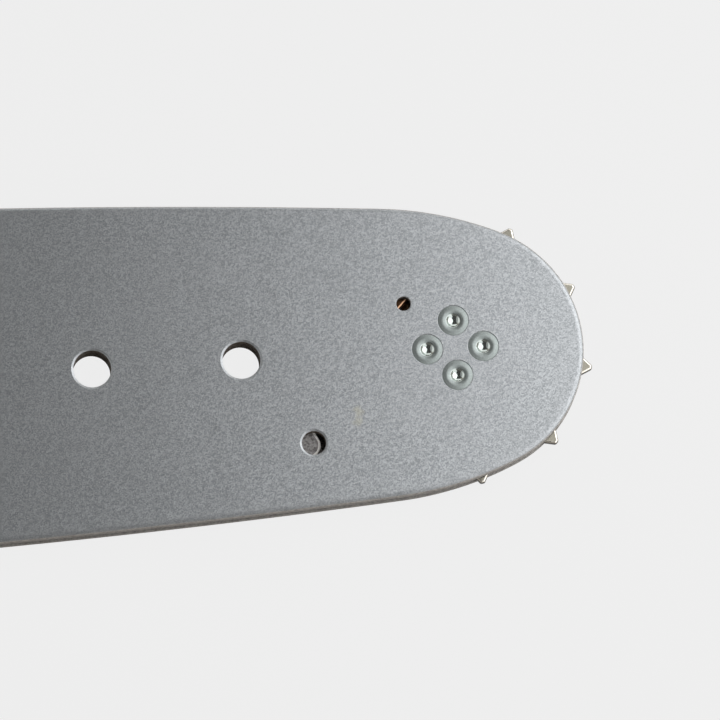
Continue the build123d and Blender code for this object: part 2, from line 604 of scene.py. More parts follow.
def finished(
    name: str,
    mesh: bpy.types.Mesh,
    finishes: Sequence[bpy.types.Material],
    body: str,
    nodes: Sequence[str],
) -> None:
    """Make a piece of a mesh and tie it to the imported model.

    Args:
        name: name of the piece.
        mesh: its mesh, in place.
        finishes: materials for the mesh's slots; none where the mesh has its own.
        body: the moving body that carries it.
        nodes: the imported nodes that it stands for.
    """
    for finish in finishes:
        mesh.materials.append(finish)
    piece = in_scene(name, mesh)
    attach(piece, body)
    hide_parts(*nodes)
    LOG.info("%s: %d faces on %s for %d node(s)", name, len(mesh.polygons), body, len(nodes))


@dataclass(frozen=True)
class Mottle:
    """Clouds of two tones; low and high are the cloud values at which each tone is pure."""

    size_mm: float
    detail: float
    first: str
    second: str
    low: float = 0.0
    high: float = 1.0

    def laid(self, add: AddNode, place: bpy.types.Node) -> tuple[bpy.types.Node, bpy.types.Node]:
        """Lay the clouds in a material.

        Args:
            add: adds a node to the material.
            place: a point's place on the bar, in millimetres.

        Returns:
            The bare clouds and their colour.
        """
        sizes = {"Scale": 1 / self.size_mm, "Detail": self.detail}
        clouds = add("ShaderNodeTexNoise", {"Vector": place, **sizes})
        share = add("ShaderNodeMapRange", {"Value": clouds, "From Min": self.low, "From Max": self.high})
        tones = {"Factor": share, "A": self.first, "B": self.second}
        return clouds, add("ShaderNodeMix", tones, data_type="RGBA")


@dataclass(frozen=True)
class Finish:
    """A finish whose pattern is laid out in millimetres on the bar."""

    name: str
    metallic: float = 0.0
    roughness: float = 0.5
    bump: float = 0.0
    bump_mm: float = 0.0

    def material(self) -> bpy.types.Material:
        """Make the material.

        Returns:
            A material whose shader takes the finish's own pattern, with a height turned into a bump.
        """
        material = bpy.data.materials.new(self.name)
        material.use_nodes = True
        add = partial(add_node, material.node_tree)
        where = add("ShaderNodeTexCoord")
        place = add("ShaderNodeMapping", {"Vector": (where, "Object"), "Scale": (PER_METRE,) * 3})
        feeds = {"Metallic": self.metallic, "Roughness": self.roughness, **self.pattern(add, place)}
        if "Height" in feeds:
            relief = {"Strength": self.bump, "Distance": self.bump_mm * MM}
            feeds["Normal"] = add("ShaderNodeBump", {"Height": feeds.pop("Height"), **relief})
        feed(material.node_tree.nodes["Principled BSDF"], feeds)
        return material

    def pattern(self, add: AddNode, place: bpy.types.Node) -> Feeds:
        """Build the pattern; each finish has its own.

        Args:
            add: adds a node to the material.
            place: a point's place on the bar, in millimetres.

        Returns:
            What the shader's inputs take, and a height where the surface has relief.
        """
        raise NotImplementedError


@dataclass(frozen=True)
class SilverLacquer(Finish):
    """Stoved silver lacquer on sheet steel.

    Aluminium flakes in a satin coat give a fine glittering grain that brightens towards the light. One
    yellowish smudge lies near the sight hole.
    """

    name: str = "stoved_silver_lacquer"
    metallic: float = 0.72
    roughness: float = 0.44
    dark_flake: str = "#969A9D"
    light_flake: str = "#ABAEB1"
    # Real flakes are about a tenth of this size and would not show.
    flake_mm: float = 0.2
    flake_tilt: float = 0.09
    cloud_mm: float = 14.0
    cloud_detail: float = 3.0
    cloud_range: Point = (0.35, 0.7)
    cloud_share: float = 0.05
    smudge: str = "#B9B5A0"
    smudge_spot: Place = (294.0, -11.3, 4.5)
    smudge_mm: Place = (1.3, 2.6, 1.0)
    smudge_turn: float = -12.0
    smudge_range: Point = (1.2, 2.0)
    smudge_share: float = 0.4
    streak_mm: float = 1.2
    streak_detail: float = 2.0
    streak_reach: float = 2.2

    def pattern(self, add: AddNode, place: bpy.types.Node) -> Feeds:
        """Leaning flakes of two tones, under faint clouds and the ragged smudge.

        Args:
            add: adds a node to the material.
            place: a point's place on the bar, in millimetres.

        Returns:
            What the shader's inputs take.
        """
        flakes = add("ShaderNodeTexVoronoi", {"Vector": place, "Scale": 1 / self.flake_mm})
        tone = add("ShaderNodeSeparateColor", {"Color": (flakes, "Color")})
        tones = {"Factor": (tone, "Red"), "A": self.dark_flake, "B": self.light_flake}
        grained = add("ShaderNodeMix", tones, data_type="RGBA")
        cloudy = {"Vector": place, "Scale": 1 / self.cloud_mm, "Detail": self.cloud_detail}
        cloud = add("ShaderNodeTexNoise", cloudy)
        low, high = self.cloud_range
        veil = add(
            "ShaderNodeMapRange",
            {"Value": cloud, "From Min": low, "From Max": high, "To Max": self.cloud_share},
        )
        veiled = {"Factor": veil, "A": grained, "B": self.dark_flake}
        clouded = add("ShaderNodeMix", veiled, data_type="RGBA")
        turn = (0.0, 0.0, math.radians(self.smudge_turn))
        near = add(
            "ShaderNodeMapping",
            {"Vector": place, "Location": self.smudge_spot, "Rotation": turn, "Scale": self.smudge_mm},
            vector_type="TEXTURE",
        )
        far = add("ShaderNodeVectorMath", {0: near}, operation="LENGTH")
        streaky = {"Vector": place, "Scale": 1 / self.streak_mm, "Detail": self.streak_detail}
        streak = add("ShaderNodeTexNoise", streaky)
        ragged = add("ShaderNodeMath", {0: streak, 1: self.streak_reach, 2: far}, operation="MULTIPLY_ADD")
        start, end = self.smudge_range
        fading = {"From Min": start, "From Max": end, "To Min": self.smudge_share, "To Max": 0.0}
        blot = add("ShaderNodeMapRange", {"Value": ragged, **fading}, interpolation_type="SMOOTHSTEP")
        colour = add("ShaderNodeMix", {"Factor": blot, "A": clouded, "B": self.smudge}, data_type="RGBA")
        centred = add("ShaderNodeVectorMath", {0: (flakes, "Color"), 1: (0.5,) * 3}, operation="SUBTRACT")
        lean = add("ShaderNodeVectorMath", {0: centred, "Scale": self.flake_tilt}, operation="SCALE")
        surface = add("ShaderNodeNewGeometry")
        leaning = add("ShaderNodeVectorMath", {0: (surface, "Normal"), 1: lean}, operation="ADD")
        normal = add("ShaderNodeVectorMath", {0: leaning}, operation="NORMALIZE")
        return {"Base Color": colour, "Normal": normal}


@dataclass(frozen=True)
class RolledSteel(Finish):
    """Oiled cold-rolled sheet.

    It is a dull grey sheet under a brown oil film, with pale mottled lacquer where the spray came in through
    the sight holes.
    """

    name: str = "oiled_cold_rolled_steel"
    metallic: float = 0.8
    roughness: float = 0.45
    bump: float = 0.12
    bump_mm: float = 0.02
    layout: Layout = Layout()
    oil: Mottle = Mottle(size_mm=3.0, detail=4.0, first="#5A5552", second="#2E2823", low=0.35, high=0.65)
    overspray: Mottle = Mottle(
        size_mm=0.35, detail=1.0, first="#656261", second="#979594", low=0.35, high=0.65
    )
    spray_mm: float = 2.3
    spray_fade_mm: float = 0.6

    def pattern(self, add: AddNode, place: bpy.types.Node) -> Feeds:
        """Oil in patches, and lacquer within reach of a sight hole.

        Args:
            add: adds a node to the material.
            place: a point's place on the bar, in millimetres.

        Returns:
            What the shader's inputs take.
        """
        _, oiled = self.oil.laid(add, place)
        grain, mist = self.overspray.laid(add, place)
        # The two plates have their sight holes on opposite sides of the centreline, so the sides are folded.
        folded = add("ShaderNodeVectorMath", {0: place}, operation="ABSOLUTE")
        flat = add("ShaderNodeVectorMath", {0: folded, 1: (1.0, 1.0, 0.0)}, operation="MULTIPLY")
        x, y = self.layout.sight_spot
        reach = add("ShaderNodeVectorMath", {0: flat, 1: (x, abs(y), 0.0)}, operation="DISTANCE")
        start, end = self.spray_mm, self.spray_mm + self.spray_fade_mm
        fading = {"From Min": start, "From Max": end, "To Min": 1.0, "To Max": 0.0}
        spray = add("ShaderNodeMapRange", {"Value": reach, **fading})
        colour = add("ShaderNodeMix", {"Factor": spray, "A": oiled, "B": mist}, data_type="RGBA")
        return {"Base Color": colour, "Height": grain}


@dataclass(frozen=True)
class ShearedEdge(Finish):
    """Sheared steel wall, dusted with lacquer.

    Matt grey dust on a torn wall is light where the lamp reaches it and nearly black where it does not.
    """

    name: str = "sheared_edge_with_overspray"
    roughness: float = 0.9
    bump: float = 0.3
    bump_mm: float = 0.05
    shine: float = 0.05
    dust: str = "#746D66"
    torn: str = "#463E37"
    tear_mm: float = 0.5
    tear_detail: float = 2.0
    tear_range: Point = (0.4, 0.7)

    def pattern(self, add: AddNode, place: bpy.types.Node) -> Feeds:
        """Dust with torn steel showing in patches.

        Args:
            add: adds a node to the material.
            place: a point's place on the bar, in millimetres.

        Returns:
            What the shader's inputs take.
        """
        patches = Mottle(self.tear_mm, self.tear_detail, self.dust, self.torn, *self.tear_range)
        tears, colour = patches.laid(add, place)
        return {"Base Color": colour, "Height": tears, "Specular IOR Level": self.shine}


@dataclass(frozen=True)
class TumbledSteel(Finish):
    """Hardened and tumbled wheel steel, greased at the bore.

    It is a pale satin steel at the teeth that turns brown and oily towards the bore. The edges of the teeth
    have a painted highlight, their side walls a painted shade, and the lip of the bore a copper painted
    highlight.
    """

    name: str = "tumbled_hardened_steel"
    metallic: float = 0.85
    roughness: float = 0.3
    bump: float = 0.15
    bump_mm: float = 0.02
    layout: Layout = Layout()
    tip: str = "#838076"
    # Near-white painted highlight on the teeth's rounded edges.
    edge: str = "#E4DFD5"
    web: str = "#7F7B74"
    grease: str = "#3E2A1B"
    # Dark painted shade on the teeth's side walls.
    flank: str = "#2E2721"
    # Copper painted highlight on the lip of the bore, with its outer radius and fade.
    bore_highlight: str = "#C29A7A"
    bore_highlight_end_mm: float = 12.45
    bore_highlight_fade_mm: float = 0.1
    grease_end_mm: float = 14.0
    clean_start_mm: float = 19.0
    tip_start_mm: float = 21.5
    tip_fade_mm: float = 2.0
    grit_mm: float = 0.3
    grit_detail: float = 2.0
    grit_reach_mm: float = 2.0

    def pattern(self, add: AddNode, place: bpy.types.Node) -> Feeds:
        """Rings of colour round the axis, and painted highlights on edges and painted shade on the teeth's
        walls.

        Args:
            add: adds a node to the material.
            place: a point's place on the bar, in millimetres.

        Returns:
            What the shader's inputs take.
        """
        flat = add("ShaderNodeVectorMath", {0: place, 1: (1.0, 1.0, 0.0)}, operation="MULTIPLY")
        reach = add("ShaderNodeVectorMath", {0: flat, 1: (*self.layout.nose, 0.0)}, operation="DISTANCE")
        gritty = {"Vector": place, "Scale": 1 / self.grit_mm, "Detail": self.grit_detail}
        grit = add("ShaderNodeTexNoise", gritty)
        ragged = add("ShaderNodeMath", {0: grit, 1: self.grit_reach_mm, 2: reach}, operation="MULTIPLY_ADD")
        start, end = self.grease_end_mm, self.clean_start_mm
        clean = add("ShaderNodeMapRange", {"Value": ragged, "From Min": start, "From Max": end})
        start, end = self.tip_start_mm, self.tip_start_mm + self.tip_fade_mm
        bright = add("ShaderNodeMapRange", {"Value": ragged, "From Min": start, "From Max": end})
        # A copper ring at the lip of the bore is a painted highlight.
        start, end = self.bore_highlight_end_mm - self.bore_highlight_fade_mm, self.bore_highlight_end_mm
        fading = {"From Min": start, "From Max": end, "To Min": 1.0, "To Max": 0.0}
        bore_highlight_mask = add("ShaderNodeMapRange", {"Value": reach, **fading})
        # The teeth's rounded edges take a painted highlight, their side walls a painted shade.
        rim = add("ShaderNodeAttribute", attribute_name=EDGE_HIGHLIGHT)
        wall = add("ShaderNodeAttribute", attribute_name=FLANK_SHADE)
        colour = self.grease
        for share, tone in (
            (clean, self.web),
            (bright, self.tip),
            (bore_highlight_mask, self.bore_highlight),
            ((rim, "Fac"), self.edge),
            ((wall, "Fac"), self.flank),
        ):
            colour = add("ShaderNodeMix", {"Factor": share, "A": colour, "B": tone}, data_type="RGBA")
        return {"Base Color": colour, "Height": grit}


@dataclass(frozen=True)
class BearingSteel(Finish):
    """Ground bearing steel in brown grease.

    Rollers and race are bright, seen through a brown film that lies in patches.
    """

    name: str = "greased_bearing_steel"
    metallic: float = 0.9
    roughness: float = 0.28
    bump: float = 0.2
    bump_mm: float = 0.05
    grease: Mottle = Mottle(size_mm=1.2, detail=3.0, first="#7E6650", second="#3A2414", low=0.35, high=0.6)

    def pattern(self, add: AddNode, place: bpy.types.Node) -> Feeds:
        """Grease in patches on steel.

        Args:
            add: adds a node to the material.
            place: a point's place on the bar, in millimetres.

        Returns:
            What the shader's inputs take.
        """
        film, colour = self.grease.laid(add, place)
        return {"Base Color": colour, "Height": film}


@dataclass(frozen=True)
class RivetSteel(Finish):
    """Bare rivet wire, ironed flush by the tool and polished by the punch in the dish.

    It is a greenish white satin steel that turns mirror bright below the rim of the dish.
    """

    name: str = "punched_rivet_steel"
    metallic: float = 0.9
    roughness: float = 0.42
    layout: Layout = Layout()
    satin: Mottle = Mottle(size_mm=0.3, detail=2.0, first="#7A8180", second="#9AA19F")
    bright: str = "#B4BCB9"
    polished_roughness: float = 0.12
    polish_depth_mm: float = 0.16

    def pattern(self, add: AddNode, place: bpy.types.Node) -> Feeds:
        """Satin grain at the face, polish at the depth of the dish on either side of the bar.

        Args:
            add: adds a node to the material.
            place: a point's place on the bar, in millimetres.

        Returns:
            What the shader's inputs take.
        """
        _, ironed = self.satin.laid(add, place)
        half = self.layout.top / 2
        height = add("ShaderNodeSeparateXYZ", {"Vector": place})
        off = add("ShaderNodeMath", {0: (height, "Z"), 1: half}, operation="SUBTRACT")
        away = add("ShaderNodeMath", {0: off}, operation="ABSOLUTE")
        start, end = half - self.polish_depth_mm, half - self.polish_depth_mm / 2
        outside = add("ShaderNodeMapRange", {"Value": away, "From Min": start, "From Max": end})
        colour = add("ShaderNodeMix", {"Factor": outside, "A": self.bright, "B": ironed}, data_type="RGBA")
        gloss = {"To Min": self.polished_roughness, "To Max": self.roughness}
        polish = add("ShaderNodeMapRange", {"Value": outside, **gloss})
        return {"Base Color": colour, "Roughness": polish}


@dataclass(frozen=True)
class PaleBoard:
    """Matt card: pale to the eye and to reflections, and still taking a shadow."""

    name: str = "matt_pale_board"
    pale: str = "#F2F2F2"
    board: str = "#A0A0A0"
    pale_share: float = 0.94

    def material(self) -> bpy.types.Material:
        """Make the material.

        Returns:
            A material that glows to rays from the eye or a mirror, and is plain board to the rest.
        """
        material = bpy.data.materials.new(self.name)
        material.use_nodes = True
        material.node_tree.nodes.clear()
        add = partial(add_node, material.node_tree)
        path = add("ShaderNodeLightPath")
        shown = (path, "Is Camera Ray")
        for ray in ("Is Glossy Ray", "Is Transmission Ray"):
            shown = add("ShaderNodeMath", {0: shown, 1: (path, ray)}, operation="MAXIMUM")
        share = add("ShaderNodeMath", {0: shown, 1: self.pale_share}, operation="MULTIPLY")
        matt = add("ShaderNodeBsdfDiffuse", {"Color": self.board})
        glow = add("ShaderNodeEmission", {"Color": self.pale, "Strength": 1.0})
        both = add("ShaderNodeMixShader", {0: share, 1: matt, 2: glow})
        add("ShaderNodeOutputMaterial", {"Surface": both})
        return material


@dataclass(frozen=True)
class BarOutline:
    """Outline of the side plates: nose arc, shoulder, long side and tapered tail."""

    layout: Layout
    nose_radius: float = 22.5
    nose_half_angle: float = 65.0
    shoulder_radius: float = 60.0
    belly_half_width: float = 31.1
    belly_setback: float = 145.0
    tail_shoulder: Point = (36.0, 26.05)
    tail_end_x: float = -44.0
    tail_corner_radius: float = 12.0
    side_chord: float = 3.0

    def shoulder_centre(self) -> Point:
        """Find the middle of the arc between the nose and the long side.

        Returns:
            The middle.
        """
        turn = math.radians(self.nose_half_angle)
        offset = self.shoulder_radius - self.nose_radius
        return (self.layout.nose_x - offset * math.cos(turn), -offset * math.sin(turn))

    def side_arc(self) -> tuple[Point, float]:
        """Find the long side's arc, which touches the shoulder and lies level at the belly.

        Returns:
            Its middle and its radius.
        """
        belly_x = self.layout.nose_x - self.belly_setback
        shoulder = self.shoulder_centre()
        run, drop = shoulder[0] - belly_x, self.belly_half_width - shoulder[1]
        radius = (run**2 + drop**2 - self.shoulder_radius**2) / (2 * (drop - self.shoulder_radius))
        return (belly_x, self.belly_half_width - radius), radius

    def rear_runs(self, side_start: float, inset: float = 0.0) -> list[Contour]:
        """Upper half from a place on the long side to the middle of the tail's end.

        Args:
            side_start: angle on the long side's arc, in degrees.
            inset: how far the line is set into the metal.

        Returns:
            The runs in order.
        """
        middle, radius = self.side_arc()
        shoulder_x, shoulder_y = self.tail_shoulder
        run, fall = middle[0] - shoulder_x, self.belly_half_width - shoulder_y
        rear_radius = (run**2 + fall**2) / (2 * fall)
        rear_middle = (middle[0], self.belly_half_width - rear_radius)
        slope = math.asin(run / rear_radius)
        corner = self.tail_corner_radius
        corner_x = self.tail_end_x + corner
        lean = (corner_x - shoulder_x - corner * math.sin(slope)) * math.tan(slope)
        corner_y = shoulder_y - corner * math.cos(slope) + lean
        end = np.array(((self.tail_end_x + inset, corner_y), (self.tail_end_x + inset, 0.0)))
        chord = self.side_chord
        tail_turn = 90 + math.degrees(slope)
        return [
            arc(middle, radius - inset, side_start, 90, chord),
            arc(rear_middle, rear_radius - inset, 90, tail_turn, chord),
            arc((corner_x, corner_y), corner - inset, tail_turn, 180),
            Contour(end, np.array(((-1.0, 0.0), (-1.0, 0.0)))),
        ]

    def line(self) -> Contour:
        """Run the whole outline.

        Returns:
            A closed line that starts at the tip of the nose.
        """
        shoulder = self.shoulder_centre()
        middle, _ = self.side_arc()
        side_start = heading(middle, shoulder)
        return mirrored(
            arc(self.layout.nose, self.nose_radius, 0, self.nose_half_angle),
            arc(shoulder, self.shoulder_radius, self.nose_half_angle, side_start),
            *self.rear_runs(side_start),
        )


@dataclass(frozen=True)
class ThroughHoles:
    """Openings that run through all three sheets."""

    layout: Layout
    slot_length: float = 60.0
    slot_width: float = 8.3
    slot_chord: float = 0.3
    pilot_radius: float = 3.3
    pilot_setbacks: Point = (37.4, 63.4)
    tensioner_radius: float = 3.0
    tensioner_spot: Point = (16.0, 11.45)

    def lines(self) -> list[Contour]:
        """Run the lines of the stud slot, the pilot holes and the tensioner holes.

        Returns:
            The closed lines in that order.
        """
        reach = (self.slot_length - self.slot_width) / 2
        end = self.slot_width / 2
        slot = closed(
            arc((reach, 0.0), end, 90, -90, self.slot_chord, hollow=True),
            arc((-reach, 0.0), end, 270, 90, self.slot_chord, hollow=True),
        )
        nose_x = self.layout.nose_x
        pilots = [hole((nose_x - setback, 0.0), self.pilot_radius) for setback in self.pilot_setbacks]
        x, y = self.tensioner_spot
        tensioners = [hole((x, side * y), self.tensioner_radius) for side in (1, -1)]
        return [slot, *pilots, *tensioners]


@dataclass
class SidePlate:
    """One painted cheek of the bar; front and back are the same stamping, the back one turned over."""

    side: Side
    layout: Layout
    outline: BarOutline
    holes: ThroughHoles
    edge_roll: Point = (0.9, 0.55)
    worn_and_highlit_strips: int = 5
    dusted_margin: float = 1.2
    hole_break: Point = (0.36, 0.16)
    small_break: Point = (0.34, 0.14)
    sight_radius: float = 2.12
    oil_spot: Point = (36.0, 18.95)
    oil_radius: float = 1.6
    grease_setback: float = 8.415
    grease_radius: float = 1.25
    grease_break: Point = (0.15, 0.15)
    rivet_bore: float = 1.72
    rivet_seat: float = 2.72
    # How far the rounded lip of a rivet's seat reaches past the seat, and how far below the face.
    seat_lip: tuple[Point, ...] = ((0.0, 0.05), (0.02, 0.015), (0.07, 0.0))
    weld_setbacks: tuple[float, ...] = (33.2, 45.2, 103.2, 115.2, 173.2, 185.2, 243.2, 255.2)
    weld_side: float = 11.7

    def blank(self) -> SheetBlank:
        """Lay out the stamping.

        Returns:
            The plate with its outer face up, at the height of the front plate's.
        """
        low, top, nose_x = self.layout.core_top, self.layout.top, self.layout.nose_x
        rail = [(self.dusted_margin, low), *rolled_edge(low, top, *self.edge_roll)]
        rims = [Rim(self.outline.line(), rail, (Coat.WORN_EDGE_AND_HIGHLIGHT,) * self.worn_and_highlit_strips)]
        large = broken_edge(low, top, *self.hole_break)
        small = broken_edge(low, top, *self.small_break)
        greased = rolled_edge(low, top, *self.grease_break)
        oil_x, oil_y = self.oil_spot
        grease_spot = (nose_x - self.grease_setback, self.grease_setback)
        cuts = [(line, large) for line in self.holes.lines()]
        cuts.append((hole(self.layout.sight_spot, self.sight_radius), small))
        cuts += [(hole((oil_x, side * oil_y), self.oil_radius), small) for side in (1, -1)]
        cuts.append((hole(grease_spot, self.grease_radius), greased))
        rims += [Rim(line, profile, (Coat.HOLE_WALL,)) for line, profile in cuts]
        spread = self.rivet_seat - self.rivet_bore
        lip = [(spread + reach, top - depth) for reach, depth in self.seat_lip]
        seat = [(0.0, low), (0.0, top - self.layout.rivet_head_depth), *lip]
        for x, y in self.layout.rivet_circle * rays(np.arange(0, 360, 360 / self.layout.rivet_count)):
            rims.append(Rim(hole((nose_x + x, y), self.rivet_bore), seat))
        dents = [
            Dimple((nose_x - setback, side * self.weld_side))
            for setback in self.weld_setbacks
            for side in (1, -1)
        ]
        return SheetBlank(rims, dents)

    def build(self, *finishes: bpy.types.Material) -> None:
        """Make the plate: lacquer outside, bare sheet on the hidden face.

        Args:
            finishes: of the outer face, the face that meets the core, the walls of the holes and the rails.
        """
        name = f"painted_plate_{self.side.value}"
        mesh = self.blank().mesh(name)
        if self.side is Side.BACK:
            over = Matrix.Translation((0, 0, self.layout.top * MM)) @ Matrix.Rotation(math.pi, 4, "X")
            mesh.transform(over)
        node = f"side_plate_{self.side.value}"
        finished(name, mesh, finishes, "bar", (node,))


@dataclass
class CorePlate:
    """The middle sheet: its edge is the floor of the chain groove, and two horns reach towards the nose."""

    layout: Layout
    outline: BarOutline
    holes: ThroughHoles
    groove_depth: float = 9.1
    chamber_radius: float = 28.75
    horn_radius: float = 2.4
    horn_chord: float = 0.15
    edge_slope: float = 0.4
    # Inset and depth along the sloped edge, as shares of its slope; the first strips of it are plain sheet,
    # and the rest are painted near-white as a highlight.
    slope_shape: tuple[Point, ...] = ((0.0, 0.8), (0.06, 0.55), (0.2, 0.36), (0.9, 0.04), (1.1, 0.0))
    plain_strips: int = 2

    def line(self) -> Contour:
        """Run the outline of the core.

        Returns:
            A closed line of chamber wall, horns, groove floor and tail.
        """
        nose = self.layout.nose
        middle, radius = self.outline.side_arc()
        floor_radius = radius - self.groove_depth
        horn = crossing(
            nose, self.chamber_radius + self.horn_radius, middle, floor_radius - self.horn_radius
        )
        inward = heading(horn, nose)
        side_start = heading(middle, horn)
        return mirrored(
            arc(nose, self.chamber_radius, 180, inward + 180, hollow=True),
            arc(horn, self.horn_radius, inward, side_start, self.horn_chord),
            *self.outline.rear_runs(side_start, self.groove_depth),
        )

    def build(self, steel: bpy.types.Material, cut: bpy.types.Material, painted_highlight: bpy.types.Material) -> None:
        """Make the core sheet with a slope along its upper edge that is painted near-white as a highlight.

        Args:
            steel: finish of the sheet.
            cut: finish of the walls of the holes.
            painted_highlight: near-white finish of the slope, a painted highlight.
        """
        low, top = self.layout.core_bottom, self.layout.core_top
        slope = self.edge_slope
        sloped = [(0.0, low), *((inset * slope, top - depth * slope) for inset, depth in self.slope_shape)]
        worn_and_highlit_strips = len(self.slope_shape) - self.plain_strips
        coats = (Coat.TOP,) * self.plain_strips + (Coat.WORN_EDGE_AND_HIGHLIGHT,) * worn_and_highlit_strips
        wall = [(0.0, low), (0.0, top)]
        rims = [Rim(self.line(), sloped, coats)]
        rims += [Rim(line, wall, (Coat.HOLE_WALL,)) for line in self.holes.lines()]
        mesh = SheetBlank(rims, []).mesh("core_sheet")
        finished("core_sheet", mesh, (steel, steel, cut, painted_highlight), "bar", ("core_plate",))


@dataclass
class NoseSprocket:
    """Toothed wheel in the nose: one tooth repeated round the axis."""

    layout: Layout
    tooth_count: int = 10
    tip_radius: float = 24.2
    tip_chord: float = 0.15
    tooth_width: float = 2.3
    tip_bevel: float = 1.6
    tip_flat: float = 0.7
    tip_round: float = 0.42
    tip_round_chord: float = 0.1
    phase: float = -10.7
    gullet_radius: float = 3.3
    gullet_centre: float = 18.9
    gullet_chord: float = 0.4
    bore_radius: float = 12.0
    edge_round: float = 0.4
    edge_steps: int = 6
    # Insets along a tooth's rounding: below the first its wall is painted dark as shade, between the two it
    # takes a painted highlight.
    painted_shade_inset: float = 0.09
    painted_highlight_inset: float = 0.35

    @property
    def half_pitch(self) -> float:
        """Angle in degrees from the middle of a gullet to the middle of a tooth."""
        return 180 / self.tooth_count

    def tip_corner(self, width: float) -> np.ndarray:
        """Find where a tooth of a width meets the tip circle, with the gullet before it along +X.

        Args:
            width: width of the tooth there.

        Returns:
            The corner.
        """
        turn = self.half_pitch - math.degrees(math.asin(width / 2 / self.tip_radius))
        return self.tip_radius * rays(turn)[0]

    def half_tooth(self) -> tuple[Contour, ...]:
        """Run half a tooth, with the gullet before it along +X.

        Returns:
            Gullet, foot of the bevel, rounded corner and tip, up to the middle of the tooth.
        """
        floor = np.array((self.gullet_centre, 0.0))
        corner = self.tip_corner(self.tooth_width)
        swing = math.acos(self.gullet_radius / np.linalg.norm(corner - floor))
        facing = heading(floor, corner) + math.degrees(swing)
        out = rays(facing)[0]
        foot = corner - self.tip_bevel * rays(facing - 90)[0]
        tip_corner = self.tip_corner(self.tip_flat)
        slope = (tip_corner - foot) / np.linalg.norm(tip_corner - foot)
        inside = np.array((-slope[1], slope[0]))
        base = tip_corner + self.tip_round * inside
        along, reach = base @ slope, self.tip_radius - self.tip_round
        round_centre = base + (math.sqrt(along**2 - base @ base + reach**2) - along) * slope
        bevel_angle = heading(inside, (0.0, 0.0))
        tip_angle = heading((0.0, 0.0), round_centre)
        way = -(out + inside) / np.linalg.norm(out + inside)
        return (
            arc(tuple(floor), self.gullet_radius, 180, facing, self.gullet_chord, hollow=True),
            Contour(foot[np.newaxis], way[np.newaxis]),
            arc(tuple(round_centre), self.tip_round, bevel_angle, tip_angle, self.tip_round_chord),
            arc((0.0, 0.0), self.tip_radius, tip_angle, self.half_pitch, self.tip_chord),
        )

    def tooth_line(self) -> Contour:
        """Run one tooth from the middle of a gullet to the middle of the next, the tooth along +X.

        Returns:
            The open line.
        """
        runs = self.half_tooth()
        cosine, sine = rays(-self.half_pitch)[0]
        spin = np.array(((cosine, -sine), (sine, cosine)))
        points = np.vstack([run.points for run in runs]) @ spin.T
        outward = np.vstack([run.outward for run in runs]) @ spin.T
        whole = np.vstack((points, points[-2::-1] * FLIP))
        ways = np.vstack((outward, outward[-2::-1] * FLIP))
        keep = np.r_[True, np.linalg.norm(np.diff(whole, axis=0), axis=1) > SAME_POINT]
        return Contour(whole[keep], ways[keep])

    def tooth_mesh(self) -> bpy.types.Mesh:
        """Make one sector of the wheel.

        Returns:
            A mesh in metres, open where it meets its neighbours.
        """
        line = self.tooth_line()
        out = rays(np.linspace(-self.half_pitch, self.half_pitch, len(line.points)))
        bore = Contour(self.bore_radius * out, -out)
        low, top = self.layout.wheel_bottom, self.layout.wheel_top
        turn = quarter(self.edge_round, self.edge_round, self.edge_steps)
        section = [(line, inset, top - depth) for inset, depth in turn]
        section += [(bore, inset, top - depth) for inset, depth in reversed(turn)]
        section += [(bore, inset, low + depth) for inset, depth in turn]
        section += [(line, inset, low + depth) for inset, depth in reversed(turn)]
        shape = bmesh.new()
        flank = shape.verts.layers.float.new(FLANK_SHADE)
        painted_highlight = shape.verts.layers.float.new(EDGE_HIGHLIGHT)
        rows = [
            [shape.verts.new((x, y, height)) for x, y in contour.inset(inset)]
            for contour, inset, height in section
        ]
        for here, there in zip(rows, rows[1:] + rows[:1]):
            for index in range(len(here) - 1):
                shape.faces.new((here[index], here[index + 1], there[index + 1], there[index]))
        shape.normal_update()
        for face in shape.faces:
            face.smooth = abs(face.normal.z) < LEVEL_RISE
        # Vertices at the tooth's wall carry the painted shade, those farther up its rounding the painted
        # highlight.
        for row, (contour, inset, _) in zip(rows, section):
            for corner in row:
                corner[flank] = float(contour is line and inset < self.painted_shade_inset)
                corner[painted_highlight] = float(contour is line and self.painted_shade_inset < inset < self.painted_highlight_inset)
        return in_metres(shape, "sprocket_tooth")

    def build(self, steel: bpy.types.Material) -> None:
        """Repeat the tooth round the axis and set the wheel in the nose.

        Args:
            steel: finish of the wheel.
        """
        ring = RingOfCopies("sprocket_teeth", self.tooth_count, 0.0, self.phase, self.layout.nose)
        mesh = ring.applied(self.tooth_mesh(), steel)
        finished("toothed_wheel", mesh, (), "sprocket", ("nose_sprocket",))


@dataclass
class NeedleBearing:
    """Race disc and the full ring of loose rollers on it."""

    layout: Layout
    roller_radius: float = 1.2
    roller_count: int = 27
    circle_radius: float = 10.75
    edge_break: float = 0.15
    soft_share: float = 0.3
    corners: int = 28

    def build(self, steel: bpy.types.Material) -> None:
        """Ring of rollers as one piece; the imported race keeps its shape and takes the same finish.

        Args:
            steel: finish of race and rollers.
        """
        side, drop = self.roller_radius, self.edge_break
        flat, soft = side - drop, drop * self.soft_share
        end = [(0.0, 0.0), (flat - soft, 0.0), (flat, soft / 2)]
        end += [(side - soft / 2, drop), (side, drop + soft)]
        low, top = self.layout.wheel_bottom, self.layout.wheel_top
        roller = revolved("needle_roller", end, low, top, self.corners)
        ring = RingOfCopies("needle_rollers", self.roller_count, self.circle_radius, 0.0, self.layout.nose)
        nodes = [f"needle_roller_{number:02d}" for number in range(1, self.roller_count + 1)]
        finished("needle_ring", ring.applied(roller, steel), (), "roller_ring", nodes)
        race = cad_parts["bearing_race"]
        race.data.materials.clear()
        race.data.materials.append(steel)
        LOG.info("bearing_race: packed shape kept")


